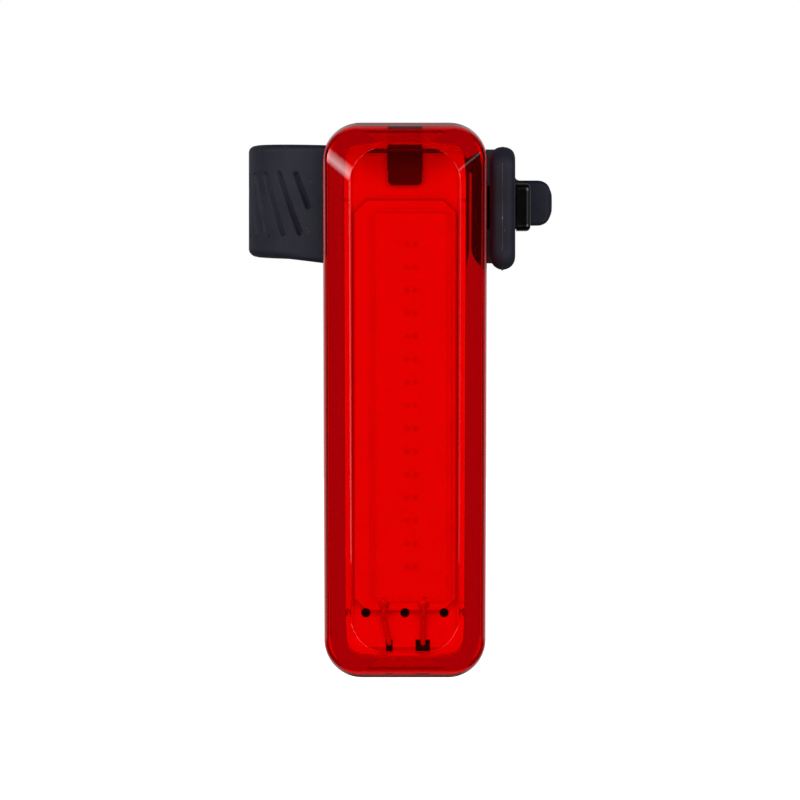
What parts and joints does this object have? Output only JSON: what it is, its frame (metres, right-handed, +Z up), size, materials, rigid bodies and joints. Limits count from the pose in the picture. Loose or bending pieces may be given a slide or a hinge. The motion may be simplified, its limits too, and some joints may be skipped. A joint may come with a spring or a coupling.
{
  "type": "bike light",
  "caption": "Slim upright rear bike light with a clear red bevelled lens, an LED panel and a rubber strap mount that hooks shut round a seatpost.",
  "frame": {"origin": "on the axis of the seatpost that the saddle beds on, half way up the strap", "axes": "+Z up along the seatpost, +X towards the hook, the lens faces -Y"},
  "size_m": [0.0467, 0.0597, 0.084],
  "materials": {
    "red_lens": "polished clear red polycarbonate",
    "white_plastic": "white reflector",
    "black_plastic": "fine moulded texture",
    "gloss_black": "polished moulding",
    "strap_rubber": "matte silicone",
    "black_rubber": "matte silicone",
    "clear_silicone": "milky silicone",
    "board": "dark solder mask",
    "panel": "white solder mask",
    "chip": "clear coated chips",
    "component": "moulded package",
    "cell": "foil pouch",
    "foam": "closed foam",
    "wire": "insulated wire",
    "steel": "plated",
    "dark_steel": "black zinc"
  },
  "bodies": {
    "light": {"lens_cover": "red_lens", "housing_gasket": "clear_silicone", "rear_housing": "black_plastic", "main_board": "board", "board_screws": "dark_steel", "controller_chip": "component", "charge_chip": "component", "small_components": "component", "battery_pad": "foam", "battery_cell": "cell", "battery_leads": "wire", "reflector_tray": "white_plastic", "led_board": "panel", "cob_dam": "white_plastic", "led_chips": "chip", "led_leads": "wire", "button_seal": "black_rubber", "tactile_switch": "component", "usb_socket": "steel", "mount_bracket": "gloss_black", "bracket_screws": "dark_steel", "saddle_pad": "black_rubber", "strap_root": "strap_rubber"},
    "button": {"power_button": "black_rubber", "switch_plunger": "black_plastic"},
    "cover": {"port_cover": "black_rubber"},
    "strap_back": {"strap_mid": "strap_rubber"},
    "strap_tip": {"strap_end": "strap_rubber"}
  },
  "joints": [
    {"name": "button_press", "type": "slide", "parent": "light", "child": "button", "axis": [0, 0, -1], "range_m": [0, 0.0005], "stiffness_N_per_m": 1500},
    {"name": "cover_bend", "type": "hinge", "parent": "light", "child": "cover", "pos_m": [0, -0.0198, -0.07], "axis": [1, 0, 0], "range_deg": [0, 90], "stiffness_Nm_per_rad": 0.002},
    {"name": "strap_back_bend", "type": "hinge", "parent": "light", "child": "strap_back", "pos_m": [-0.0241, -0.00115, 0], "axis": [0, 0, 1], "range_deg": [0, 24], "stiffness_Nm_per_rad": 0.15},
    {"name": "strap_tip_bend", "type": "hinge", "parent": "strap_back", "child": "strap_tip", "pos_m": [0.017, 0.00085, 0], "axis": [0, 0, 1], "range_deg": [0, 95], "stiffness_Nm_per_rad": 0.05}
  ],
  "couplings": [
    {"joint": "strap_back_bend", "follows": "strap_tip_bend", "ratio": 0.25}
  ]
}
